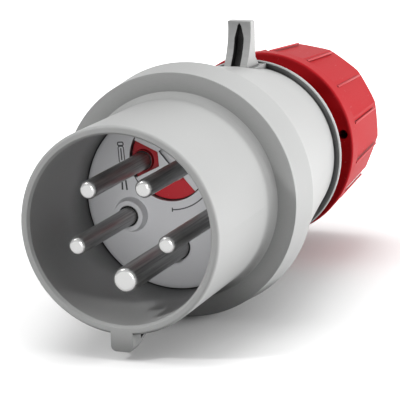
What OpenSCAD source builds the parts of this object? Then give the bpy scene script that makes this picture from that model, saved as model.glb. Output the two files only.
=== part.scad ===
// Industrial pin and sleeve plug: five pins, 16 A, with a phase inverter.
// The plug lies on its side.  Its axis runs along Y, the mouth faces -Y, the
// cable leaves towards +Y, the key is underneath and the hook is on top.
// Every piece is drawn along its own z axis, counted rearwards from the mouth,
// with -y as up, and plug() turns it into that place.

/* [Sleeve] */
// Outside diameter of the sleeve at its mouth
sleeve_d = 57; // [54:0.5:62]
// Wall thickness of the sleeve at its mouth
sleeve_wall = 2.5; // [2.3:0.1:3.5]
// Depth from the mouth to the contact face
sleeve_depth = 38.6; // [36:0.2:42]
// Radius that the sleeve loses towards its root
sleeve_draft = 0.5; // [0.1:0.1:0.9]
// Rounding of the sleeve's rim
rim_round = 0.9; // [0.4:0.1:1.2]

/* [Collar and barrel] */
// Diameter of the collar at its front edge
collar_d = 70; // [68:0.5:76]
// Width of the collar along the plug
collar_w = 11.6; // [8:0.2:14]
// Radius that the collar gains towards its rear edge
collar_draft = 0.8; // [0.2:0.1:1.2]
// How far the collar's front face lies behind the contact face
collar_setback = 4.8; // [4:0.2:6]
// Radius of the fillet between sleeve and collar
root_fillet = 4; // [2:0.5:5]
// Length of the tapering barrel behind the collar
barrel_l = 48.2; // [42:0.2:56]
// Diameter of the barrel at its rear end
barrel_end_d = 52; // [51:0.5:54]
// Wall thickness of the collar and the barrel
barrel_wall = 2.8; // [2:0.1:3.2]
// Diameter of the lip round the barrel's rear end
lip_d = 55.7; // [55.2:0.1:58]
// Thickness of the lip
lip_t = 1.5; // [1:0.1:2.5]

/* [Key and hook] */
// Width of the key under the sleeve
key_w = 6.4; // [5:0.2:8]
// Height of the key below the sleeve
key_h = 4.6; // [3.6:0.2:6]
// Length of the key along the sleeve
key_l = 14; // [11:0.5:18]
// Width of the hook
hook_w = 7.1; // [6:0.1:9]
// Height of the hook's tip above the plug's axis
hook_top = 41; // [39:0.2:45]
// Thickness of the hook at its tip
hook_t = 3.6; // [3:0.1:5]
// Width of the slot in the hook's front face
hook_slot_w = 2.9; // [2:0.1:3.6]

/* [Pins] */
// Diameter of the circle that the pins stand on
pin_circle_d = 27.2; // [26.4:0.2:28]
// Diameter of the phase and neutral pins
pin_d = 5; // [4.6:0.1:5.4]
// Diameter of the earth pin
earth_d = 7; // [6.4:0.1:7.4]
// Depth of the pin tips inside the mouth
tip_depth = 0.8; // [0.2:0.1:3]
// Rounding of the pin tips
tip_round = 1.2; // [0.6:0.1:1.8]
// Diameter of each terminal barrel
terminal_d = 8; // [7.2:0.2:8.6]
// Bore of a terminal for its wire
wire_bore_d = 4.2; // [3:0.2:4.8]
// Diameter of a terminal screw's shank
terminal_screw_d = 3; // [2.5:0.1:3.4]

/* [Contact carrier] */
// Thickness of the carrier's flange in the sleeve
flange_t = 4; // [3.4:0.2:5]
// Width of the ledge that the flange seats on
ledge_w = 1.7; // [1.2:0.1:2.2]
// Thickness of the web between the two carrier halves
web_t = 3; // [2.4:0.2:4]
// Height of the boss round the neutral pin
boss_h = 2.2; // [1:0.1:3]
// Diameter of the boss round the neutral pin
boss_d = 10; // [8.4:0.2:10.6]
// Gap round the carrier's flange in the sleeve
flange_gap = 0.35; // [0.2:0.05:0.5]
// Turn of the carrier against the key, in degrees
carrier_turn = 4.5; // [0:0.5:6]
// Diameter of the carrier screws
carrier_screw_d = 2.8; // [2.2:0.1:3.2]
// Wall thickness of the terminal towers
tower_wall = 1.5; // [1:0.1:1.9]

/* [Phase inverter] */
// Diameter of the rotor that carries two of the pins
rotor_d = 22.8; // [22:0.2:23.4]
// Thickness of the grey cover plate on the rotor
cover_t = 1.4; // [1:0.1:2]
// Diameter of the cover's hub
hub_d = 12.4; // [11:0.2:13]
// Diameter of the rotor's axle
axle_d = 6; // [5:0.2:6.4]
// Distance that the rotor is pressed in before it turns
press_travel = 2; // [1:0.1:2.4]
// Wire thickness of the rotor spring
spring_wire = 0.7; // [0.5:0.1:0.9]

/* [Rear housing and gland] */
// Outside diameter of the threaded neck
neck_d = 45.6; // [44.6:0.2:46]
// Length of the neck inside the barrel
stub_l = 11; // [9:0.5:14]
// Cord diameter of the housing's sealing ring
o_ring_t = 2.2; // [1.8:0.1:2.4]
// Gap between the barrel's lip and the gland nut
nut_gap = 9.2; // [7:0.2:12]
// Diameter of the gland nut at its front edge
nut_d = 56.6; // [56:0.2:60]
// Diameter of the gland nut at its rear edge
nut_end_d = 50.6; // [49.6:0.2:53]
// Length of the gland nut's gripping part
nut_l = 36; // [33:0.5:40]
// Number of grip facets round the gland nut
nut_facets = 14; // [10:1:18]
// Depth of the step between two facets
facet_step = 0.8; // [0.4:0.1:1.2]
// Diameter of the locking hole in the gland nut's front face
lock_hole_d = 2.8; // [2:0.1:3]
// Bore of the rubber gland seal, which takes the cable
cable_d = 15; // [11:0.5:17]
// Outside diameter of the rubber gland seal
seal_d = 26.4; // [25:0.2:28]
// Length of the rubber gland seal
seal_l = 9; // [7:0.5:11]
// Number of fingers on the clamping collet
collet_fingers = 8; // [6:1:12]

/* [Fits] */
// Gap between pieces that move past each other
run_gap = 0.3; // [0.2:0.05:0.4]
// Radial clearance of the rotor's axle in its bearing
axle_fit = 0.07; // [0.04:0.01:0.1]
// Gap round pieces that are pushed into a seat
seat_gap = 0.05; // [0.02:0.01:0.1]

/* [Hidden] */
$fn = 64;

GREY = "#c4c5c4";
LIGHT_GREY = "#a9abae";
RED = "#c02a33";
NICKEL = "#b9b6ad";
BRASS = "#c8a24a";
STEEL = "#8f9499";
RUBBER = "#2a2b2c";

// Angle of the k-th pin on the carrier, counted anticlockwise as seen into the mouth.
// The five pins stand a fifth of a turn apart, from the earth pin over the key.
function pin_angle(k) = (270 + k * 360 / 5) % 360;
EARTH_A = pin_angle(0);
L1_A = pin_angle(1);
L2_A = pin_angle(2);
L3_A = pin_angle(3);
NEUTRAL_A = pin_angle(4);

// Angles of one step between two grip facets and of the locking hole.
STEP_A = 39;
LOCK_A = 9.5;

// Sleeve, collar and barrel, as radii and as places along the plug.
sleeve_r = sleeve_d / 2;
sleeve_ir = sleeve_r - sleeve_wall;
root_r = sleeve_r - sleeve_draft;
collar_r = collar_d / 2;
collar_rear_r = collar_r + collar_draft;
collar_z = sleeve_depth + collar_setback;
barrel_z = collar_z + collar_w;
barrel_end_r = barrel_end_d / 2;
lip_z = barrel_z + barrel_l;
rear_z = lip_z + lip_t;
ledge_z = sleeve_depth + flange_t;
split_z = ledge_z + web_t;
throat_r = sleeve_ir - ledge_w;
cavity_r = collar_rear_r - barrel_wall;

// Rear opening of the barrel, which takes the neck.
neck_r = neck_d / 2;
socket_r = neck_r + run_gap;
socket_z = rear_z - stub_l - 1;

// Contact carrier and terminals.
flange_r = sleeve_ir - flange_gap;
pin_circle_r = pin_circle_d / 2;
pin_r = pin_d / 2;
earth_r = earth_d / 2;
terminal_r = terminal_d / 2;
terminal_circle_r = pin_circle_r + 3.4;
root_grow = 0.3;
boss_z = sleeve_depth - boss_h;
boss_taper = 0.7;
boss_gap = 0.2;
pin_collar_t = 2.6;
pin_collar_grow = 1.8;
back_r = throat_r - 0.2;
back_flange_r = throat_r + 3;
back_flange_t = 3;
tower_l = 11;
screw_circle_r = throat_r - 4.3;
screw_angles = [20, 160, 240, 300];
screw_bite = 4;
screw_head_z = split_z + 4.4;
carrier_screw_r = carrier_screw_d / 2;

// Phase inverter.  Its axis lies between the two pins that it carries.
rotor_r = rotor_d / 2;
rotor_rise = pin_circle_r * sin(L2_A);
pin_reach_r = pin_circle_r * cos(L2_A);
rotor_boss_r = pin_r + 0.8;
rotor_z = sleeve_depth + cover_t;
rotor_back_z = split_z;
well_r = rotor_r + run_gap;
tail_r = pin_r - 0.5;
tail_l = 6;
washer_t = 0.6;
clip_z = rotor_back_z + tail_l + press_travel + run_gap;
clip_plate_t = 0.9;
well_floor_z = clip_z + clip_plate_t + 0.3;
block_z = clip_z + clip_plate_t;
tower_z = well_floor_z + 1.4;
terminal_end_z = tower_z + tower_l;
terminal_screw_z = terminal_end_z - 4.5;
axle_r = axle_d / 2;
hub_boss_r = axle_r + 2.2;
hub_boss_z = tower_z + 3;
circlip_t = 0.8;
leaf_t = 0.8;
leaf_gap = 0.25;

// Rear housing and gland.
nut_z = rear_z + nut_gap;
nut_end_z = nut_z + nut_l;
nut_rear_z = nut_end_z + 3.6;
nut_r = nut_d / 2;
nut_end_r = nut_end_d / 2;
nut_bore_r = neck_r + run_gap;
neck_end_z = nut_end_z - 7;
seal_r = seal_d / 2;
cable_r = cable_d / 2;
cup_z = neck_end_z - seal_l - 4.5;
collet_z = cup_z + seal_l;
collet_ring_t = 3;
finger_z = collet_z + collet_ring_t;
finger_end_z = nut_end_z - 2.6;
finger_end_r = seal_r - 2;
aperture_r = cable_r + 2.6;
washer_z = finger_end_z - 2.6;
end_wall_z = finger_end_z + run_gap;
stop_flange_r = neck_r + 2;
stop_flange_t = 2;
neck_wall = 3.4;

// Middle of the plug's length and height of its axis over the lowest point.
plug_mid = nut_rear_z / 2;
axis_h = collar_rear_r;

// Points of an arc round c from angle a0 to a1.
function arc(c, r, a0, a1, steps = 6) =
    [for (i = [0 : steps]) let (a = a0 + (a1 - a0) * i / steps) c + r * [cos(a), sin(a)]];

// Outside radius of the barrel at a share t of its length.
function barrel_r(t) = collar_rear_r - 0.5 - (collar_rear_r - 0.5 - barrel_end_r) * pow(t, 0.86);

// Outside radius of the gland nut at a place along the plug.
function nut_outer_r(z) = nut_r + (nut_end_r - nut_r) * (z - nut_z) / nut_l;

// Turns a piece drawn along z into its place in the plug.
module plug() {
    translate([0, -plug_mid, axis_h]) rotate([-90, 0, 0]) children();
}

// Turns a piece of the carrier into its place in the sleeve.
module in_carrier() {
    plug() rotate([0, 0, -carrier_turn]) children();
}

// Faces x outwards at an angle round the plug, and moves out by r.
module spoke(a, r = 0) {
    rotate([0, 0, -a]) translate([r, 0, 0]) children();
}

// A plate of width w that stands on a spoke; its outline is height by place.
module fin(w) {
    rotate([90, 0, 0]) linear_extrude(w, center = true) children();
}

// Moves to the rotor's axis.
module rotor_axis() {
    translate([0, -rotor_rise, 0]) children();
}

// A round hole or rod from z0 to z1.
module rod(r, z0, z1) {
    translate([0, 0, z0]) cylinder(r = r, h = z1 - z0);
}

// ---------------------------------------------------------------- housing

// Solid outline of sleeve, collar, barrel and lip.
module housing_outline() {
    rotate_extrude($fn = 128) polygon(concat(
        [[0, 0]],
        arc([sleeve_r - rim_round, rim_round], rim_round, -90, 0),
        arc([root_r + root_fillet, collar_z - root_fillet], root_fillet, 180, 90, 8),
        arc([collar_r - 0.8, collar_z + 0.8], 0.8, -90, 0, 3),
        [[collar_rear_r, barrel_z - 0.4], [collar_rear_r - 0.3, barrel_z]],
        [for (i = [0 : 8]) [barrel_r(i / 8), barrel_z + 0.4 + (barrel_l - 0.4) * i / 8]],
        [[lip_d / 2 - 0.3, lip_z], [lip_d / 2, lip_z + 0.3], [lip_d / 2, rear_z - 0.3],
         [lip_d / 2 - 0.3, rear_z], [0, rear_z]]));
}

// Hollow of the sleeve, the throat and the wiring space.
module housing_hollow() {
    rotate_extrude($fn = 128) polygon([
        [0, -1], [sleeve_ir + 0.6, -1], [sleeve_ir + 0.6, 0], [sleeve_ir, 0.9],
        [sleeve_ir, ledge_z], [throat_r, ledge_z], [throat_r, split_z],
        [cavity_r, split_z], [cavity_r, barrel_z],
        [barrel_r(0.75) - barrel_wall, barrel_z + 0.75 * (socket_z - barrel_z)],
        [socket_r + 0.8, socket_z - 1.5], [socket_r, socket_z],
        [socket_r, rear_z + 1], [0, rear_z + 1]]);
}

// Key with rounded lower corners, a sloping underside and a side window.
module key() {
    key_r = sleeve_r + key_h;
    strut = 0.8;
    window_z = 0.4 * key_l;
    slope = (key_h - 0.6) / (key_l - 2);
    spoke(270) difference() {
        intersection() {
            fin(key_w) polygon([[sleeve_ir + 1, 0], [key_r, 0], [key_r, 2],
                                [sleeve_r + 0.6 - sleeve_draft, key_l], [sleeve_ir + 1, key_l]]);
            linear_extrude(key_l) union() {
                translate([sleeve_ir, -key_w / 2]) square([sleeve_wall + key_h - 1.6, key_w]);
                translate([sleeve_ir, 1.6 - key_w / 2])
                    square([sleeve_wall + key_h, key_w - 3.2]);
                for (s = [-1, 1])
                    translate([key_r - 1.6, s * (key_w / 2 - 1.6)]) circle(r = 1.6);
            }
        }
        fin(key_w + 2) polygon([
            [sleeve_r + 0.5, window_z],
            [key_r - strut - slope * (window_z - 2) - 0.4, window_z],
            [sleeve_r + 0.5, window_z + (key_h - strut - 0.9) / slope - window_z + 2]]);
    }
}

// Share of the hook's lean at a share t of its height; it curls a little at the tip.
function hook_curve(t) = t * (2.2 - 1.25 * t);

// Hook that a socket's lid drops behind, with a pointed slot down its hollow face.
module hook() {
    base_r = barrel_end_r - 1.4;
    foot_z = lip_z - 16;
    lean = 7.6;
    rise = hook_top - base_r;
    back_z = foot_z + lean * hook_curve(1) + hook_t;
    slot_foot = base_r + 2.8;
    slot_rise = hook_top - 0.5 - slot_foot;
    slot_half = hook_slot_w / 2;
    front = [for (i = [0 : 8]) let (t = i / 8) [base_r + rise * t, foot_z + lean * hook_curve(t)]];
    slot_back = [for (i = [8 : -1 : 0]) let (t = i / 8)
                 [slot_foot + slot_rise * t, foot_z + lean * hook_curve(t) + 1.6 + 4 * (1 - t)]];
    spoke(90) {
        difference() {
            fin(hook_w) polygon(concat(front,
                [[hook_top, back_z - 0.6], [hook_top - 0.6, back_z],
                 [barrel_end_r + 4, back_z], [base_r, lip_z + 0.4]]));
            intersection() {
                fin(hook_slot_w) polygon(concat(
                    [[slot_foot, foot_z - 2], [slot_foot + slot_rise, foot_z - 2]], slot_back));
                translate([0, 0, foot_z - 3]) linear_extrude(hook_t + 20) polygon([
                    [slot_foot - 1, -slot_half], [hook_top - 5, -slot_half],
                    [hook_top - 1.2, -0.35 * slot_half], [hook_top - 0.5, 0],
                    [hook_top - 1.2, 0.35 * slot_half], [hook_top - 5, slot_half],
                    [slot_foot - 1, slot_half]]);
            }
        }
        fin(hook_w + 3) polygon([[base_r, foot_z + 1.5], [barrel_end_r + 1.6, foot_z + 4],
                                 [barrel_end_r + 1, rear_z - 0.4], [base_r, rear_z - 0.4]]);
    }
}

module front_housing() {
    color(GREY) plug() difference() {
        union() {
            housing_outline();
            key();
            hook();
        }
        housing_hollow();
    }
}

// ---------------------------------------------------------------- carrier

// Seat of a fixed pin: its root and the collar that is trapped behind it.
module pin_seat(a, r) {
    spoke(a, pin_circle_r) {
        rod(r + root_grow + seat_gap, sleeve_depth - 1, split_z + 1);
        rod(r + pin_collar_grow + seat_gap, split_z - pin_collar_t, split_z + 1);
    }
}

module pin_carrier() {
    color(LIGHT_GREY) in_carrier() difference() {
        union() {
            rod(flange_r, sleeve_depth, ledge_z);
            rod(back_r, sleeve_depth, split_z);
            spoke(NEUTRAL_A, pin_circle_r) translate([0, 0, boss_z])
                cylinder(r1 = boss_d / 2 - boss_taper, r2 = boss_d / 2, h = boss_h);
        }
        rotor_axis() rod(well_r, sleeve_depth - 1, split_z + 1);
        pin_seat(L1_A, pin_r);
        pin_seat(EARTH_A, earth_r);
        pin_seat(NEUTRAL_A, pin_r);
        spoke(NEUTRAL_A, pin_circle_r) rod(pin_r + root_grow + boss_gap, boss_z - 1, sleeve_depth + 0.4);
        for (a = screw_angles)
            spoke(a, screw_circle_r) rod(carrier_screw_r + seat_gap, split_z - screw_bite, split_z + 1);
    }
}

// Angle and circle of each terminal.
TERMINALS = [[L1_A, pin_circle_r], [NEUTRAL_A, pin_circle_r], [EARTH_A, pin_circle_r],
             [L2_A, terminal_circle_r], [L3_A, terminal_circle_r]];

// Rear half of the carrier: rotor well, bearing and terminal towers.
module terminal_carrier() {
    tower_r = terminal_r + tower_wall;
    color(LIGHT_GREY) in_carrier() difference() {
        union() {
            rod(back_flange_r, split_z, split_z + back_flange_t);
            rod(back_r, split_z, tower_z);
            for (t = TERMINALS)
                spoke(t[0], t[1]) rod(tower_r, tower_z - 1, terminal_end_z - 1);
            for (a = [18, 162, 234, 306])
                spoke(a) translate([1, -0.8, tower_z - 1]) cube([14, 1.6, tower_l - 2]);
            rotor_axis() rod(hub_boss_r, tower_z - 1, hub_boss_z);
        }
        rotor_axis() {
            rod(well_r, split_z - 1, well_floor_z);
            rod(axle_r + axle_fit, split_z, hub_boss_z + 1);
        }
        for (t = TERMINALS) spoke(t[0], t[1]) {
            rod(terminal_r + seat_gap, t[1] > pin_circle_r ? block_z - 1 : split_z - 1,
                terminal_end_z + 1);
            translate([0, 0, terminal_screw_z]) rotate([0, 90, 0])
                cylinder(r = terminal_screw_d / 2 + 1.3, h = tower_r + 1);
        }
        for (a = screw_angles) spoke(a, screw_circle_r) {
            rod(carrier_screw_r + 0.2, split_z - 1, tower_z + 1);
            rod(carrier_screw_r + 1.7, screw_head_z, tower_z + 1);
        }
    }
}

// Screw with a slotted head; z0 is its point and z1 the seat of its head.
module slotted_screw(r, head_r, head_h, z0, z1) {
    difference() {
        union() {
            rod(r, z0 + 0.4, z1);
            translate([0, 0, z0]) cylinder(r1 = r - 0.4, r2 = r, h = 0.4);
            rod(head_r, z1, z1 + head_h);
        }
        translate([-head_r - 1, -0.4, z1 + head_h / 2]) cube([2 * head_r + 2, 0.8, head_h]);
    }
}

module carrier_screws() {
    color(STEEL) in_carrier() for (a = screw_angles)
        spoke(a, screw_circle_r)
            slotted_screw(carrier_screw_r, carrier_screw_r + 1.4, 2.2,
                          split_z - screw_bite + 0.3, screw_head_z);
}

// ---------------------------------------------------------------- contacts

// Outline of a pin from its rounded tip to its root in the carrier.
function pin_points(r, root_z) = concat(
    [[0, tip_depth]],
    arc([r - tip_round, tip_depth + tip_round], tip_round, -90, 0, 8),
    [[r, root_z], [r + root_grow, root_z]]);

// Hole for the wire and hole for the screw of a terminal barrel.
module terminal_holes() {
    rod(wire_bore_d / 2, terminal_end_z - 9, terminal_end_z + 1);
    translate([0, 0, terminal_screw_z]) rotate([0, 90, 0])
        cylinder(r = terminal_screw_d / 2 + seat_gap, h = terminal_r + 1);
}

// Fixed pin turned in one piece with its terminal barrel.  It is a little thicker behind root_z.
module fixed_pin(a, r, root_z = sleeve_depth) {
    collar_z0 = split_z - pin_collar_t;
    in_carrier() spoke(a, pin_circle_r) difference() {
        rotate_extrude() polygon(concat(
            pin_points(r, root_z),
            [[r + root_grow, collar_z0], [r + pin_collar_grow, collar_z0],
             [r + pin_collar_grow, split_z], [terminal_r, split_z],
             [terminal_r, terminal_end_z], [0, terminal_end_z]]));
        terminal_holes();
    }
}

module pin_l1() {
    color(NICKEL) fixed_pin(L1_A, pin_r);
}

module pin_neutral() {
    color(NICKEL) fixed_pin(NEUTRAL_A, pin_r, boss_z);
}

module pin_earth() {
    color(NICKEL) fixed_pin(EARTH_A, earth_r);
}

// Pin carried by the rotor; its thin tail runs between the leaves of a clip.
module rotor_pin(a) {
    in_carrier() spoke(a, pin_circle_r) rotate_extrude() polygon(concat(
        pin_points(pin_r, rotor_z - 1),
        [[pin_r + root_grow, rotor_back_z], [tail_r, rotor_back_z],
         [tail_r, rotor_back_z + tail_l - 0.6],
         [tail_r - 0.6, rotor_back_z + tail_l], [0, rotor_back_z + tail_l]]));
}

module pin_l2() {
    color(NICKEL) rotor_pin(L2_A);
}

module pin_l3() {
    color(NICKEL) rotor_pin(L3_A);
}

// Ring sector round the rotor's axis between two radii and two angles.
module ring_sector(r0, r1, a0, a1) {
    steps = 10;
    polygon(concat(
        [for (i = [0 : steps]) let (a = a0 + (a1 - a0) * i / steps) r1 * [cos(a), -sin(a)]],
        [for (i = [steps : -1 : 0]) let (a = a0 + (a1 - a0) * i / steps) r0 * [cos(a), -sin(a)]]));
}

// Fixed terminal of a switched phase: an open clip for the pin's tail and the
// barrel that takes the wire.
module clip_terminal(a, side) {
    inner = pin_reach_r - tail_r - leaf_gap - leaf_t;
    outer = pin_reach_r + tail_r + leaf_gap;
    plate_r = min(outer + leaf_t, well_r - 0.1);
    leaf_z = rotor_back_z + press_travel + run_gap;
    in_carrier() {
        rotor_axis() {
            for (r = [inner, outer])
                translate([0, 0, leaf_z]) linear_extrude(clip_z + clip_plate_t - leaf_z)
                    ring_sector(r, min(r + leaf_t, plate_r), side - 24, side + 24);
            translate([0, 0, clip_z]) linear_extrude(clip_plate_t)
                ring_sector(inner, plate_r, side - 24, side + 24);
        }
        spoke(a, terminal_circle_r) difference() {
            rod(terminal_r, clip_z + clip_plate_t / 3, terminal_end_z);
            terminal_holes();
        }
    }
}

module terminal_l2() {
    color(BRASS) clip_terminal(L2_A, 0);
}

module terminal_l3() {
    color(BRASS) clip_terminal(L3_A, 180);
}

module terminal_screws() {
    color(STEEL) in_carrier() for (t = TERMINALS)
        spoke(t[0], t[1]) translate([0, 0, terminal_screw_z]) rotate([0, 90, 0])
            slotted_screw(terminal_screw_d / 2, terminal_screw_d / 2 + 0.9, 1.8,
                          wire_bore_d / 2 - 0.6, terminal_r + tower_wall + 0.2);
}

// ---------------------------------------------------------------- inverter

module inverter_rotor() {
    color(RED) in_carrier() difference() {
        union() {
            rotor_axis() {
                rod(rotor_r, rotor_z, rotor_back_z);
                rod(axle_r, rotor_back_z - 1, hub_boss_z + 2.4);
            }
            intersection() {
                rotor_axis() rod(rotor_r, rotor_z - 1, rotor_z + 1);
                for (a = [L2_A, L3_A]) spoke(a, pin_circle_r) translate([0, 0, rotor_z - 1])
                    cylinder(r1 = rotor_boss_r - 0.4, r2 = rotor_boss_r, h = 2);
            }
        }
        for (a = [L2_A, L3_A])
            spoke(a, pin_circle_r) rod(pin_r + root_grow + seat_gap, rotor_z - 2, rotor_back_z + 1);
        rotor_axis() difference() {
            rod(axle_r + 1, hub_boss_z + run_gap, hub_boss_z + run_gap + circlip_t + 0.1);
            rod(axle_r - 0.9, hub_boss_z - 1, hub_boss_z + 3);
        }
    }
}

// Window in the cover round one pin and its boss, straight towards the hub.
module pin_window() {
    near = pin_reach_r - rotor_boss_r - 1.7;
    far = rotor_r + 1;
    polygon([[near, -1.7], [near, 2.4], [near + 6.6, 5.9], [far, 4.9], [far, -4.2], [near + 7.2, -4.7]]);
}

// Grey plate in front of the rotor: hub with the driver slot and four arms.
module inverter_cover() {
    driver_l = 2 * (pin_reach_r - rotor_boss_r) - 2;
    color(LIGHT_GREY) in_carrier() rotor_axis() difference() {
        rod(rotor_r, sleeve_depth, rotor_z);
        for (turn = [0, 180]) rotate([0, 0, turn]) {
            translate([0, 0, sleeve_depth - 1]) linear_extrude(cover_t + 2) {
                pin_window();
                ring_sector(hub_d / 2, rotor_r + 1, 232, 308);
            }
        }
        rotate([0, 0, -36]) translate([-0.7, -driver_l / 2, sleeve_depth - 1])
            cube([1.4, driver_l, 1.9]);
    }
}

// Washer that the spring pushes and the rotor turns on.
module spring_washer() {
    color(STEEL) in_carrier() rotor_axis() difference() {
        rod(axle_r + 1.4, rotor_back_z + run_gap / 3, rotor_back_z + run_gap / 3 + washer_t);
        rod(axle_r + run_gap / 2, rotor_back_z - 1, rotor_back_z + 3);
    }
}

// Compression spring round the axle, from the washer to the well's floor.
module rotor_spring() {
    turns = 4.5;
    sides = 8;
    per_turn = 20;
    z0 = rotor_back_z + run_gap / 3 + washer_t + spring_wire / 2;
    z1 = well_floor_z - spring_wire / 2;
    coil_r = axle_r + 0.25 + spring_wire / 2;
    rings = ceil(turns * per_turn);
    points = [for (i = [0 : rings]) let (a = 360 * turns * i / rings, z = z0 + (z1 - z0) * i / rings)
              for (j = [0 : sides - 1]) let (b = 360 * j / sides, r = coil_r + spring_wire / 2 * cos(b))
              [r * cos(a), r * sin(a), z + spring_wire / 2 * sin(b)]];
    skin = [for (i = [0 : rings - 1]) for (j = [0 : sides - 1]) let (k = (j + 1) % sides)
            [i * sides + j, (i + 1) * sides + j, (i + 1) * sides + k, i * sides + k]];
    ends = [[for (j = [0 : sides - 1]) j], [for (j = [sides - 1 : -1 : 0]) rings * sides + j]];
    color(STEEL) in_carrier() rotor_axis() polyhedron(points, concat(skin, ends));
}

// Open retaining clip in the groove at the end of the rotor's axle.
module rotor_clip() {
    z0 = hub_boss_z + run_gap + 0.05;
    color(STEEL) in_carrier() rotor_axis() difference() {
        rod(axle_r + 1.3, z0, z0 + circlip_t);
        rod(axle_r - 0.9 + seat_gap, z0 - 1, z0 + circlip_t + 1);
        translate([-1.2, 0, z0 - 1]) cube([2.4, axle_r + 2, circlip_t + 2]);
    }
}

// ---------------------------------------------------------------- gland

module rear_housing() {
    stub_z = rear_z - stub_l;
    bore_r = neck_r - neck_wall;
    groove_z = stub_z + 4;
    groove_r = socket_r - o_ring_t;
    color(RED) plug() rotate_extrude($fn = 96) polygon([
        [bore_r, stub_z], [neck_r - 0.8, stub_z], [neck_r, stub_z + 0.8],
        [neck_r, groove_z - o_ring_t / 2 - 0.1], [groove_r, groove_z - o_ring_t / 2 - 0.1],
        [groove_r, groove_z + o_ring_t / 2 + 0.1], [neck_r, groove_z + o_ring_t / 2 + 0.1],
        [neck_r, rear_z], [stop_flange_r, rear_z], [stop_flange_r, rear_z + stop_flange_t],
        [neck_r, rear_z + stop_flange_t], [neck_r, neck_end_z - 0.8],
        [neck_r - 0.8, neck_end_z], [seal_r + seat_gap, neck_end_z], [seal_r + seat_gap, cup_z],
        [aperture_r, cup_z], [aperture_r, cup_z - 2],
        [bore_r, cup_z - 2 - (bore_r - aperture_r)]]);
}

module housing_seal() {
    color(RUBBER) plug() translate([0, 0, rear_z - stub_l + 4])
        rotate_extrude($fn = 96) translate([socket_r - o_ring_t / 2, 0]) circle(d = o_ring_t, $fn = 24);
}

module gland_seal() {
    color(RUBBER) plug() rotate_extrude($fn = 64) polygon([
        [cable_r, cup_z], [seal_r, cup_z], [seal_r, collet_z], [cable_r + 1.6, collet_z],
        [cable_r, collet_z - 1.6]]);
}

// Ring with tapering fingers that close on the cable.
module clamp_collet() {
    color(GREY) plug() difference() {
        rotate_extrude() polygon([
            [cable_r + 0.4, finger_z - 1], [cable_r + 0.4, finger_end_z],
            [finger_end_r, finger_end_z], [seal_r - 0.2, finger_z],
            [seal_r, finger_z], [seal_r, collet_z], [cable_r + 2, collet_z]]);
        for (i = [0 : collet_fingers - 1]) spoke(i * 360 / collet_fingers)
            translate([0, -0.6, finger_z]) cube([seal_r + 2, 1.2, finger_end_z - finger_z + 1]);
    }
}

// Washer that slides with the nut and closes the collet without turning.
module thrust_washer() {
    slope = (seal_r - 0.2 - finger_end_r) / (finger_end_z - finger_z);
    color(STEEL) plug() rotate_extrude() polygon([
        [finger_end_r + run_gap + slope * (finger_end_z - washer_z), washer_z],
        [neck_r - 5, washer_z], [neck_r - 5, finger_end_z],
        [finger_end_r + run_gap, finger_end_z]]);
}

// One cut that leaves a flat, slightly skewed facet on the nut.
module facet_cut(k) {
    pitch = 360 / nut_facets;
    start_z = nut_z + 6.2;
    half = nut_outer_r(start_z) * sin(pitch / 2);
    front_r = nut_outer_r(start_z) * cos(pitch / 2) - facet_step / 2;
    rear_r = nut_outer_r(nut_rear_z) * cos(pitch / 2) - facet_step / 2;
    skew = atan(facet_step / (2 * half));
    spoke(STEP_A + pitch * (k - 0.5)) rotate([0, 0, -skew]) fin(2 * half)
        polygon([[front_r, start_z + 1], [nut_r + 2, start_z - 2],
                 [nut_r + 2, nut_rear_z + 1], [rear_r, nut_rear_z + 1]]);
}

module gland_nut() {
    color(RED) plug() difference() {
        rotate_extrude($fn = 96) polygon(concat(
            [[nut_bore_r, nut_z]],
            arc([nut_r - 0.7, nut_z + 0.7], 0.7, -90, 0, 3),
            arc([nut_end_r - 3.2, nut_end_z - 0.4], 3.2, 5, 80, 6),
            [[aperture_r + 1.2, nut_rear_z], [aperture_r, nut_rear_z - 1.2],
             [aperture_r, end_wall_z], [nut_bore_r - 2, end_wall_z],
             [nut_bore_r - 2, neck_end_z + 2], [nut_bore_r, neck_end_z + 0.5]]));
        for (k = [0 : nut_facets - 1]) facet_cut(k);
        spoke(LOCK_A, (nut_bore_r + nut_r) / 2) rod(lock_hole_d / 2, nut_z - 1, nut_z + 6);
    }
}

front_housing();
pin_carrier();
terminal_carrier();
carrier_screws();
pin_l1();
pin_neutral();
pin_earth();
terminal_l2();
terminal_l3();
terminal_screws();
inverter_rotor();
inverter_cover();
pin_l2();
pin_l3();
spring_washer();
rotor_spring();
rotor_clip();
rear_housing();
housing_seal();
gland_seal();
clamp_collet();
thrust_washer();
gland_nut();
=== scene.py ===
"""Industrial pin and sleeve plug: looks, small details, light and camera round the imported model."""

from contextlib import contextmanager
from math import cos, pi, radians, sin

import bpy
from mathutils import Matrix, Vector


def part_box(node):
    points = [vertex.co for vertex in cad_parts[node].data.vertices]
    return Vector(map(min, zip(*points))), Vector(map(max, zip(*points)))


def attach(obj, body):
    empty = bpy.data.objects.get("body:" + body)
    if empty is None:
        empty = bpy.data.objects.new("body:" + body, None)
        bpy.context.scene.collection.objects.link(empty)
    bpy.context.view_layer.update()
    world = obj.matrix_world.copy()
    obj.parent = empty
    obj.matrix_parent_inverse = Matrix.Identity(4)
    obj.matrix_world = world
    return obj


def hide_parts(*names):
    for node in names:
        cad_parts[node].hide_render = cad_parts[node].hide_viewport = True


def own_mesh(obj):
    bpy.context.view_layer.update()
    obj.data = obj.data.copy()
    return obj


MM = 0.001

# ---------------------------------------------------------------- frame, places and sizes

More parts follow.
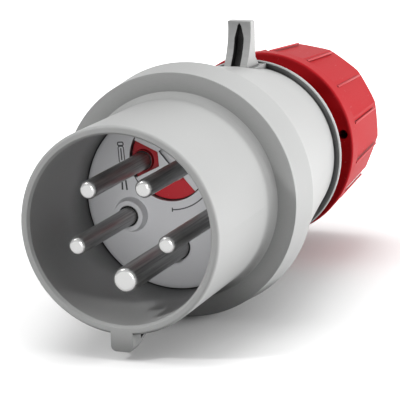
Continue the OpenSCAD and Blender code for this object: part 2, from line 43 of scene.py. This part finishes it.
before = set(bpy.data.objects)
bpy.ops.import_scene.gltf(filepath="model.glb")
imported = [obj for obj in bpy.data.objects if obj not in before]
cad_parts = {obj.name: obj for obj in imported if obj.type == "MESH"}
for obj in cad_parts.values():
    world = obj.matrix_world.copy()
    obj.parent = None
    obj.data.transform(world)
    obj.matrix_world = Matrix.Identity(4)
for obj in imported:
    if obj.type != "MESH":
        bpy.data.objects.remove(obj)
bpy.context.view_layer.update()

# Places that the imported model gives.
mouth_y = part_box("front_housing")[0].y
lip_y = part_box("front_housing")[1].y
face_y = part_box("inverter_cover")[0].y
plug_axis = sum(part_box("gland_seal"), Vector()) / 2
rotor_axis = sum(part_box("inverter_rotor"), Vector()) / 2

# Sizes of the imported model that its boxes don't give.
COLLAR_R = 35 * MM
COLLAR_DEPTH = 43.4 * MM
THREAD_PITCH = 3 * MM
SPRING_WIRE = 0.7 * MM
SPRING_TURNS = 4.5
GRIP_FACETS = 14
FIRST_STEP = radians(39)


# ---------------------------------------------------------------- shader maths


class Signal:
    """A shader socket that can be used like a number."""

    def __init__(self, nodes, socket):
        self.nodes = nodes
        self.socket = socket

    def math(self, operation, *values):
        return self.nodes.node("ShaderNodeMath", {"operation": operation}, dict(enumerate(values)))

    def __add__(self, other):
        return self.math("ADD", self, other)

    def __sub__(self, other):
        return self.math("SUBTRACT", self, other)

    def __rsub__(self, other):
        return self.math("SUBTRACT", other, self)

    def __mul__(self, other):
        return self.math("MULTIPLY", self, other)

    __radd__ = __add__
    __rmul__ = __mul__

    def above(self, edge, soft):
        """0 below edge, 1 above edge + soft, and even in between."""
        return self.nodes.node(
            "ShaderNodeMapRange", {"clamp": True}, {0: self, 1: edge, 2: edge + soft, 3: 0.0, 4: 1.0}
        )


class Nodes:
    """The node tree of a material or of the world."""

    def __init__(self, tree):
        self.tree = tree

    def node(self, kind, settings=None, inputs=None, output=0):
        """Adds a node, sets it up, feeds its inputs and gives one output as a Signal."""
        made = self.tree.nodes.new(kind)
        for name, value in (settings or {}).items():
            setattr(made, name, value)
        for key, value in (inputs or {}).items():
            self.feed(made.inputs[key], value)
        return Signal(self, made.outputs[output])

    def feed(self, socket, value):
        if isinstance(value, Signal):
            self.tree.links.new(value.socket, socket)
        else:
            socket.default_value = value

    def seen_directly(self):
        """1 for what the camera sees, also by reflection or through glass."""
        camera = self.node("ShaderNodeLightPath", output="Is Camera Ray")
        rays = camera.socket.node.outputs
        mirrored = camera.math("MAXIMUM", camera, Signal(self, rays["Is Glossy Ray"]))
        return camera.math("MAXIMUM", mirrored, Signal(self, rays["Is Transmission Ray"]))


class Finish(Nodes):
    """One procedural material, its shader and the patterns that it is mixed from."""

    def __init__(self, name, **constants):
        self.material = bpy.data.materials.new(name)
        self.material.use_nodes = True
        super().__init__(self.material.node_tree)
        self.shader = self.tree.nodes["Principled BSDF"]
        self.paint(**constants)

    def paint(self, **values):
        """Feeds the shader's own sockets."""
        for name, value in values.items():
            self.feed(self.shader.inputs[name.replace("_", " ")], value)

    def place(self):
        return self.node("ShaderNodeTexCoord", output=3)

    def along(self, place, axis):
        return self.node("ShaderNodeSeparateXYZ", inputs={0: place}, output="XYZ".index(axis))

    def stretched(self, place, scale, turn=(0, 0, 0), shift=(0, 0, 0)):
        return self.node(
            "ShaderNodeMapping", inputs={"Vector": place, "Scale": scale, "Rotation": turn, "Location": shift}
        )

    def noise(self, place, scale, detail=3.0, rough=0.55):
        return self.node(
            "ShaderNodeTexNoise", inputs={"Vector": place, "Scale": scale, "Detail": detail, "Roughness": rough}
        )

    def tone(self, mask, low, high):
        """Colour that goes from low to high with a mask."""
        return self.mix(mask, (*low, 1), (*high, 1))

    def over(self, mask, base, top):
        """A plain colour laid over a coloured signal where the mask is 1."""
        return self.mix(mask, base, (*top, 1))

    def under(self, mask, base, top):
        """A coloured signal laid over a plain colour where the mask is 1."""
        return self.mix(mask, (*base, 1), top)

    def mix(self, mask, low, high):
        return self.node("ShaderNodeMix", {"data_type": "RGBA"}, {0: mask, 6: low, 7: high}, output=2)

    def cavity(self, reach, samples=12):
        """0 in the open, 1 deep in a recess or a tight corner."""
        light = self.node("ShaderNodeAmbientOcclusion", {"samples": samples}, {"Distance": reach}, output="AO")
        return 1.0 - light

    def relief(self, height, depth, edge):
        """Bump from a height signal, depth in metres, with edges softened by a radius."""
        softened = self.node("ShaderNodeBevel", {"samples": 6}, {"Radius": edge})
        return self.node(
            "ShaderNodeBump", inputs={"Height": height, "Distance": depth, "Strength": 1.0, "Normal": softened}
        )


# ---------------------------------------------------------------- finishes


def moulded_plastic(name, colour, shade, grain_depth, rough=0.42, corner_shade=0.7, shine=0.3, hollow_shade=0.0):
    """Satin injection moulded plastic: fine spark-eroded grain, flow tone and light handling marks.

    Painted shade darkens tight corners, and a wider painted shade darkens the hollows round them.
    """
    finish = Finish(name, IOR=1.5, Specular_IOR_Level=shine)
    place = finish.place()
    flow = finish.noise(place, 28, 2.0)
    cloud = finish.noise(finish.stretched(place, (1, 0.25, 1)), 90, 4.0, 0.6)
    grain = finish.noise(place, 5200, 2.0, 0.5)
    rubbed = finish.stretched(place, (1, 0.12, 1), (0.3, 0.2, 0.5))
    scuffs = finish.noise(rubbed, 900, 3.0, 0.7).above(0.66, 0.05)
    base_tone = finish.over(scuffs * 0.10, finish.tone(flow * 0.6 + cloud * 0.4, shade, colour), (0.8, 0.8, 0.8))
    # Painted shade: the wide hollows round corners are darkened in the colour.
    if hollow_shade:
        hollow = finish.cavity(14 * MM).above(0.18, 0.32)
        base_tone = finish.over(hollow * hollow_shade, base_tone, tuple(0.2 * c for c in shade))
    # Painted shade: tight corners and recesses are darkened almost to black in the colour.
    corner = finish.cavity(4 * MM).above(0.34, 0.28)
    finish.paint(
        Base_Color=finish.over(corner * corner_shade, base_tone, tuple(0.04 * c for c in shade)),
        Roughness=rough + 0.12 * (cloud - 0.5) + 0.10 * (grain - 0.5) + scuffs * 0.08,
        Normal=finish.relief(grain + 0.25 * cloud, grain_depth, 0.25 * MM),
    )
    return finish.material


def threaded_plastic(name, colour, shade):
    """Red plastic of the rear housing, with a shallow helical thread along its neck."""
    finish = Finish(name, IOR=1.5, Specular_IOR_Level=0.45)
    place = finish.place()
    depth = finish.along(place, "Y")
    centred = finish.stretched(place, (1, 1, 1), shift=(-plug_axis.x, 0, -plug_axis.z))
    across, up = finish.along(centred, "X"), finish.along(centred, "Z")
    phase = depth * (2 * pi / THREAD_PITCH) + up.math("ARCTAN2", up, across)
    thread = phase.math("SINE", phase)
    on_neck = depth.above(lip_y + 2.5 * MM, 0.4 * MM)
    grain = finish.noise(place, 5000, 2.0)
    cloud = finish.noise(place, 60, 3.0)
    finish.paint(
        Base_Color=finish.tone(cloud, shade, colour),
        Roughness=0.40 + 0.12 * (grain - 0.5),
        Normal=finish.relief(grain * 0.02 + thread * on_neck * 0.5, 0.8 * MM, 0.25 * MM),
    )
    return finish.material


def turned_metal(name, colour, shade, rough):
    """Metal with fine streaks along the plug and a light stain."""
    finish = Finish(name, Metallic=1.0)
    place = finish.place()
    streaks = finish.noise(finish.stretched(place, (1, 0.02, 1)), 2600, 3.0, 0.65)
    stain = finish.noise(place, 160, 3.0)
    finish.paint(
        Base_Color=finish.tone(stain * 0.6 + streaks * 0.4, shade, colour),
        Roughness=rough + 0.14 * (streaks - 0.5) + 0.10 * (stain - 0.5),
        Normal=finish.relief(streaks, 0.006 * MM, 0.12 * MM),
    )
    return finish.material


def pin_plating(name):
    """Nickel plating of the pins: dull, streaked shafts, polished tips and painted shade on the shoulders at
    the roots.
    """
    # The polished tip stops just past the flat end, so the rounded edge takes the darker shaft colour: a
    # painted dark reflection round each tip.
    tip_end, root_start = mouth_y + 0.98 * MM, mouth_y + 10 * MM
    dull_dark, dull_pale = (0.16, 0.16, 0.16), (0.42, 0.42, 0.415)
    polished, shadowed = (0.43, 0.43, 0.426), (0.012, 0.012, 0.012)
    finish = Finish(name, Metallic=1.0)
    place = finish.place()
    streaks = finish.noise(finish.stretched(place, (1, 0.012, 1)), 1500, 3.0, 0.7)
    fine = finish.noise(finish.stretched(place, (1, 0.02, 1)), 5200, 2.0)
    depth = finish.along(place, "Y")
    shaft = depth.above(tip_end, 0.14 * MM)
    facing = finish.along(finish.node("ShaderNodeNewGeometry", output="Normal"), "Y") * -1.0
    # Painted shade: the forward-facing shoulders deep at the roots are coloured nearly black.
    shoulder = facing.above(0.8, 0.1) * depth.above(root_start, 1 * MM)
    dull = finish.tone((streaks * 0.7 + fine * 0.3).above(0.36, 0.3), dull_dark, dull_pale)
    finish.paint(
        Base_Color=finish.over(shoulder, finish.under(shaft, polished, dull), shadowed),
        Metallic=1.0 - 0.45 * shaft,
        Roughness=0.20 + shaft * 0.12 + 0.12 * (streaks - 0.5) + 0.06 * (fine - 0.5),
        Normal=finish.relief(streaks, 0.004 * MM, 0.12 * MM),
    )
    return finish.material


def moulded_rubber(name):
    """Black rubber with a thin, uneven bloom."""
    finish = Finish(name, IOR=1.5, Specular_IOR_Level=0.3)
    place = finish.place()
    bloom = finish.noise(place, 240, 4.0, 0.6)
    finish.paint(
        Base_Color=finish.tone(bloom, (0.016, 0.016, 0.017), (0.045, 0.045, 0.046)),
        Roughness=0.62 + 0.2 * (bloom - 0.5),
        Normal=finish.relief(finish.noise(place, 3500, 2.0), 0.02 * MM, 0.2 * MM),
    )
    return finish.material


def printing_ink(name):
    """Dark pad-printed ink, slightly uneven."""
    finish = Finish(name, IOR=1.45)
    worn = finish.noise(finish.place(), 2400, 3.0)
    finish.paint(
        Base_Color=finish.tone(worn, (0.02, 0.02, 0.022), (0.06, 0.06, 0.065)),
        Roughness=0.45 + 0.2 * (worn - 0.5),
    )
    return finish.material


def studio_sweep(name):
    """Floor that keeps the plug's soft shadow, with painted shade close round the plug, runs out to plain white
    and lights the plug only a little.
    """
    indirect, pale = (0.22, 0.22, 0.22), (0.86, 0.86, 0.86)
    finish = Finish(name, Roughness=0.9, Specular_IOR_Level=0.1)
    mottle = finish.noise(finish.place(), 3.0, 2.0)
    direct = finish.seen_directly()
    finish.paint(Base_Color=finish.tone(direct * (0.96 + 0.04 * mottle), indirect, pale))
    # Painted shade: the glow is held back where the plug encloses the floor, so the floor stays dark round the
    # plug.
    open_floor = 1.0 - finish.cavity(90 * MM, samples=24)
    lift = 0.95 * open_floor * open_floor
    glow = finish.node("ShaderNodeEmission", inputs={"Strength": direct * lift})
    total = finish.node("ShaderNodeAddShader", inputs={0: Signal(finish, finish.shader.outputs[0]), 1: glow})
    finish.feed(finish.tree.nodes["Material Output"].inputs["Surface"], total)
    return finish.material


# The housing's corners and the hollows round them carry strong painted shade.
housing_grey = moulded_plastic(
    "housing_grey", (0.60, 0.605, 0.60), (0.56, 0.565, 0.56), 0.010 * MM, corner_shade=0.95, hollow_shade=0.85
)
carrier_grey = moulded_plastic("carrier_grey", (0.66, 0.662, 0.68), (0.62, 0.622, 0.64), 0.006 * MM, 0.46)
inverter_red = moulded_plastic("inverter_red", (0.52, 0.008, 0.020), (0.46, 0.007, 0.016), 0.006 * MM, 0.4)
nut_red = moulded_plastic("nut_red", (0.57, 0.020, 0.028), (0.51, 0.016, 0.022), 0.012 * MM, 0.45, shine=0.06)
neck_red = threaded_plastic("neck_red", (0.52, 0.022, 0.030), (0.46, 0.018, 0.025))
# The beads are a lighter red than the nut they lie on: a painted highlight along each step edge.
bead_highlight_red = moulded_plastic("bead_highlight_red", (0.62, 0.05, 0.06), (0.56, 0.04, 0.05), 0.010 * MM, 0.45)
slip_white = moulded_plastic("slip_white", (0.76, 0.76, 0.73), (0.72, 0.72, 0.69), 0.006 * MM, 0.5)
pin_nickel = pin_plating("pin_nickel")
terminal_brass = turned_metal("terminal_brass", (0.72, 0.53, 0.22), (0.62, 0.44, 0.17), 0.28)
zinc_steel = turned_metal("zinc_steel", (0.58, 0.58, 0.60), (0.46, 0.47, 0.49), 0.3)
black_rubber = moulded_rubber("black_rubber")
sign_ink = printing_ink("sign_ink")

NODES_IN = {
    housing_grey: ["front_housing", "clamp_collet"],
    carrier_grey: ["pin_carrier", "terminal_carrier", "inverter_cover"],
    inverter_red: ["inverter_rotor"],
    nut_red: ["gland_nut"],
    neck_red: ["rear_housing"],
    slip_white: ["thrust_washer"],
    pin_nickel: ["pin_l1", "pin_l2", "pin_l3", "pin_neutral", "pin_earth"],
    terminal_brass: ["terminal_l2", "terminal_l3"],
    zinc_steel: ["terminal_screws", "carrier_screws", "spring_washer", "rotor_spring", "rotor_clip"],
    black_rubber: ["housing_seal", "gland_seal"],
}

for material, node_names in NODES_IN.items():
    for node_name in node_names:
        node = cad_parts[node_name]
        node.data.materials.clear()
        node.data.materials.append(material)


# ---------------------------------------------------------------- modelling helpers


def deselect():
    bpy.ops.object.select_all(action="DESELECT")


def activate(*pieces):
    """Selects just these pieces and makes the first one active."""
    deselect()
    for piece in pieces:
        piece.select_set(True)
    bpy.context.view_layer.objects.active = pieces[0]


@contextmanager
def editing(action="SELECT"):
    """Edit mode on the active piece, with its whole mesh selected first unless told otherwise."""
    bpy.ops.object.mode_set(mode="EDIT")
    if action:
        bpy.ops.mesh.select_all(action=action)
    yield
    bpy.ops.object.mode_set(mode="OBJECT")


def modify(piece, kind, **settings):
    """Adds a modifier to the active piece and applies it."""
    modifier = piece.modifiers.new(kind.lower(), kind)
    for name, value in settings.items():
        setattr(modifier, name, value)
    bpy.ops.object.modifier_apply(modifier=modifier.name)


def settle(piece, name, finish, body):
    """Names a finished piece, brings its place into its mesh and lets it ride on its body."""
    activate(piece)
    bpy.ops.object.transform_apply(location=True, rotation=True, scale=True)
    piece.name = name
    piece.data.name = name
    piece.data.materials.clear()
    piece.data.materials.append(finish)
    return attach(piece, body)


def joined(pieces):
    activate(*pieces)
    bpy.ops.object.join()
    return pieces[0]


def thickened(piece, thickness):
    """Gives a flat sign its thickness, half of it to each side."""
    activate(piece)
    modify(piece, "SOLIDIFY", thickness=thickness, offset=0)
    return piece


def face_plate(x, up, width, height, turn=0.0):
    """A flat plate on the contact face, its middle at (x, up) from the plug's axis."""
    deselect()
    bpy.ops.mesh.primitive_plane_add(
        size=1, location=(plug_axis.x + x, face_y, plug_axis.z + up), rotation=(pi / 2, turn, 0)
    )
    plate = bpy.context.object
    plate.scale = (width, height, 1)
    bpy.ops.object.transform_apply(location=False, rotation=False, scale=True)
    return plate


def rounded_outline(plate, line, round_off):
    """Rounds a plate's corners and turns it into the line round its edge."""
    with editing():
        bpy.ops.mesh.bevel(offset=round_off, segments=5, affect="VERTICES")
        bpy.ops.mesh.select_all(action="SELECT")
        bpy.ops.mesh.inset(thickness=line)
        bpy.ops.mesh.delete(type="FACE")
    return plate


# ---------------------------------------------------------------- signs on the contact face

SIGN_HEIGHT = 0.06 * MM
SIGN_LINE = 0.34 * MM


def turn_arrow():
    """Arc with a stop tick and an arrow head, concentric with the inverter."""
    radius = 14.1 * MM
    tick_length, head_size = 1.2 * MM, 1.5 * MM
    first, last = radians(-87), radians(-28)
    centre = Vector((rotor_axis.x, face_y, rotor_axis.z))
    start = centre + radius * Vector((cos(first), 0, sin(first)))
    tip = centre + radius * Vector((cos(last), 0, sin(last)))

    # One short edge across the line is swept round into the arc.
    deselect()
    bpy.ops.mesh.primitive_plane_add(size=1, location=start, rotation=(pi / 2, 0, 0))
    arc = bpy.context.object
    arc.scale = (0.02 * MM, SIGN_LINE, 1)
    bpy.ops.object.transform_apply(location=True, rotation=True, scale=True)
    with editing():
        bpy.ops.mesh.delete(type="ONLY_FACE")
        bpy.ops.mesh.select_all(action="DESELECT")
    for edge in arc.data.edges:
        middle = sum((arc.data.vertices[i].co for i in edge.vertices), Vector()) / 2
        edge.select = middle.x > start.x + 0.005 * MM
    with editing(None):
        bpy.ops.mesh.spin(steps=40, angle=last - first, center=centre, axis=(0, 1, 0))
        bpy.ops.mesh.select_all(action="SELECT")
        bpy.ops.mesh.remove_doubles(threshold=0.001 * MM)

    tick = face_plate(start.x - plug_axis.x, start.z - plug_axis.z, SIGN_LINE, tick_length)

    # The head is a square whose upper corners are merged to a point.
    head = face_plate(tip.x - plug_axis.x, tip.z - plug_axis.z, head_size, head_size)
    with editing("DESELECT"):
        bpy.ops.mesh.select_mode(type="VERT")
    for vertex in head.data.vertices:
        vertex.select = vertex.co.y > 0
    with editing(None):
        bpy.ops.mesh.merge(type="CENTER")
    head.rotation_euler = (pi / 2, -last, 0)

    sign = thickened(joined([arc, tick, head]), SIGN_HEIGHT)
    return settle(sign, "turn_arrow", sign_ink, "root")


def screwdriver_sign():
    """Outline of a screwdriver beside the inverter: cap, grip with a groove, shank and blade."""
    top_x, top_up, lean = -15.25 * MM, 15.5 * MM, radians(-3.9)
    thin = SIGN_LINE * 0.8

    def strip(side, down, width, length, flare=0.0):
        """A plate of the sign, measured from the top of its cap."""
        return face_plate(
            top_x + side - down * sin(lean), top_up - down * cos(lean), width, length, lean + flare
        )

    cap = rounded_outline(strip(0, 0.65 * MM, 2.0 * MM, 1.3 * MM), SIGN_LINE, 0.5 * MM)
    grip = rounded_outline(strip(0, 3.7 * MM, 1.9 * MM, 5.0 * MM), thin, 0.7 * MM)
    groove = strip(0, 3.6 * MM, SIGN_LINE, 3.4 * MM)
    pieces = [cap, grip, groove]
    for side in (-1, 1):
        pieces.append(strip(side * 0.45 * MM, 8.6 * MM, thin, 5.0 * MM))
        pieces.append(strip(side * 0.62 * MM, 12.4 * MM, 0.5 * MM, 2.8 * MM, radians(-3) * side))
    sign = thickened(joined(pieces), SIGN_HEIGHT)
    return settle(sign, "screwdriver_sign", sign_ink, "root")


# ---------------------------------------------------------------- flat face of the collar


def collar_face():
    """Flat front of the collar, with a crisp rim and a tight corner against the sleeve."""
    bore_r, proud, rim_round = 29.2 * MM, 0.8 * MM, 0.22 * MM
    front = mouth_y + COLLAR_DEPTH - proud
    rear = front + 2 * proud

    def disc(radius, middle, depth):
        """A disc round the plug's axis."""
        deselect()
        bpy.ops.mesh.primitive_cylinder_add(
            vertices=180,
            radius=radius,
            depth=depth,
            location=(plug_axis.x, middle, plug_axis.z),
            rotation=(pi / 2, 0, 0),
        )
        return bpy.context.object

    bore = disc(bore_r, front, 10 * MM)
    face = disc(COLLAR_R, (front + rear) / 2, rear - front)
    modify(face, "BOOLEAN", operation="DIFFERENCE", object=bore)
    modify(face, "BEVEL", width=rim_round, segments=3, limit_method="ANGLE", angle_limit=radians(40))
    bpy.data.objects.remove(bore)
    with editing():
        bpy.ops.mesh.faces_shade_smooth()
    modify(face, "WEIGHTED_NORMAL", keep_sharp=True)
    return settle(face, "collar_face", housing_grey, "root")


# ---------------------------------------------------------------- coil spring behind the inverter


def coil_spring():
    """Spring behind the inverter, wound from round wire."""
    low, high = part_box("rotor_spring")
    length = high.y - low.y
    coil_r = (high.z - low.z - SPRING_WIRE) / 2
    deselect()
    bpy.ops.mesh.primitive_circle_add(
        vertices=12, radius=SPRING_WIRE / 2, location=(rotor_axis.x, low.y + SPRING_WIRE / 2, rotor_axis.z)
    )
    coil = bpy.context.object
    with editing():
        bpy.ops.transform.translate(value=(coil_r, 0, 0))
    modify(
        coil,
        "SCREW",
        axis="Y",
        angle=2 * pi * SPRING_TURNS,
        screw_offset=length - SPRING_WIRE,
        steps=120,
        render_steps=120,
        use_smooth_shade=True,
    )
    with editing():
        bpy.ops.mesh.fill_holes(sides=0)
        bpy.ops.mesh.normals_make_consistent(inside=False)
    settle(coil, "coil_spring", zinc_steel, "root")
    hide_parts("rotor_spring")
    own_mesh(coil)
    return coil


# ---------------------------------------------------------------- rolled edges on the nut's grip


def grip_beads():
    """Fine rolled edge along each step between the grip facets of the gland nut, coloured a lighter red as a
    painted highlight.
    """
    nut_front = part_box("gland_nut")[0].y
    front, rear = nut_front + 7.5 * MM, nut_front + 34 * MM
    front_r, rear_r, bead_r = 27.55 * MM, 25.4 * MM, 0.32 * MM
    lean = (rear_r - front_r) / (rear - front)
    deselect()
    bpy.ops.mesh.primitive_cylinder_add(
        vertices=10, radius=bead_r, depth=rear - front, location=(0, 0, 0), rotation=(pi / 2, 0, 0)
    )
    bead = bpy.context.object
    bpy.ops.object.transform_apply(location=False, rotation=True, scale=False)

    # The ends are rounded before the bead is leant onto the nut's taper.
    with editing("DESELECT"):
        bpy.ops.mesh.select_mode(type="FACE")
    for face in bead.data.polygons:
        face.select = abs(face.normal.y) > 0.9
    with editing(None):
        bpy.ops.mesh.bevel(offset=0.2 * MM, segments=3, affect="EDGES")
        bpy.ops.mesh.select_all(action="SELECT")
        bpy.ops.mesh.faces_shade_smooth()
    for vertex in bead.data.vertices:
        vertex.co.x += (front_r + rear_r) / 2 + lean * vertex.co.y
    bead.location = (plug_axis.x, (front + rear) / 2, plug_axis.z)
    bead.rotation_euler = (0, -FIRST_STEP, 0)
    bpy.ops.object.transform_apply(location=True, rotation=True, scale=False)
    with editing():
        bpy.ops.mesh.spin(
            steps=GRIP_FACETS - 1,
            angle=2 * pi * (GRIP_FACETS - 1) / GRIP_FACETS,
            center=(plug_axis.x, 0, plug_axis.z),
            axis=(0, 1, 0),
            dupli=True,
        )
    return settle(bead, "grip_beads", bead_highlight_red, "nut")


turn_arrow()
screwdriver_sign()
collar_face()
coil_spring()
grip_beads()


# ---------------------------------------------------------------- camera

CAMERA_PLACE = Vector((0.2526, -0.65415, 0.1919))
CAMERA_TURN = radians(21.64)
CAMERA_TILT = radians(13.24)
CAMERA_ROLL = radians(-1.59)

bpy.ops.object.camera_add(location=CAMERA_PLACE)
camera = bpy.context.object
camera.name = "studio_camera"
camera.rotation_euler = (
    Matrix.Rotation(CAMERA_TURN, 3, "Z")
    @ Matrix.Rotation(pi / 2 - CAMERA_TILT, 3, "X")
    @ Matrix.Rotation(CAMERA_ROLL, 3, "Z")
).to_euler()
camera.data.lens = 221.5
camera.data.sensor_width = 36
camera.data.clip_start = 0.01
camera.data.clip_end = 50
bpy.context.scene.camera = camera


# ---------------------------------------------------------------- studio


def light(kind, name, place, direction, energy, **settings):
    bpy.ops.object.light_add(type=kind, location=place)
    lamp = bpy.context.object
    lamp.name = name
    lamp.data.energy = energy
    for setting, value in settings.items():
        setattr(lamp.data, setting, value)
    lamp.rotation_euler = direction.to_track_quat("-Z", "Y").to_euler()


above_plug = Vector((0, 0, 1))
light("SUN", "overhead_light", above_plug, Vector((0.15, -0.1, -1)), 1.0, angle=radians(40))
light("SUN", "key_light", above_plug, Vector((0.5, 0.5, -0.62)), 1.05, angle=radians(7))

beside_plug = Vector((0.95, 0.22, 0.20))
light("AREA", "side_softbox", beside_plug, plug_axis - beside_plug, 11.5, shape="DISK", size=0.7)

mouth = Vector((plug_axis.x, mouth_y, plug_axis.z))
before_mouth = mouth + Vector((0.02, -1.1, 0.03))
light(
    "SPOT",
    "mouth_spot",
    before_mouth,
    mouth - before_mouth,
    25,
    spot_size=radians(2.8),
    spot_blend=0.2,
    shadow_soft_size=0.02,
)

deselect()
bpy.ops.mesh.primitive_plane_add(size=30)
floor = bpy.context.object
floor.name = "studio_floor"
floor.data.materials.append(studio_sweep("studio_sweep"))

# White behind the plug, and little light from there on it.
world = bpy.data.worlds.new("studio")
bpy.context.scene.world = world
world.use_nodes = True
sky = Nodes(world.node_tree)
background = sky.tree.nodes["Background"]
background.inputs["Color"].default_value = (1, 1, 1, 1)
strength = sky.node(
    "ShaderNodeMapRange", inputs={"Value": sky.seen_directly(), "To Min": 0.06, "To Max": 1.0}
)
sky.feed(background.inputs["Strength"], strength)

bpy.context.scene.view_settings.view_transform = "Standard"
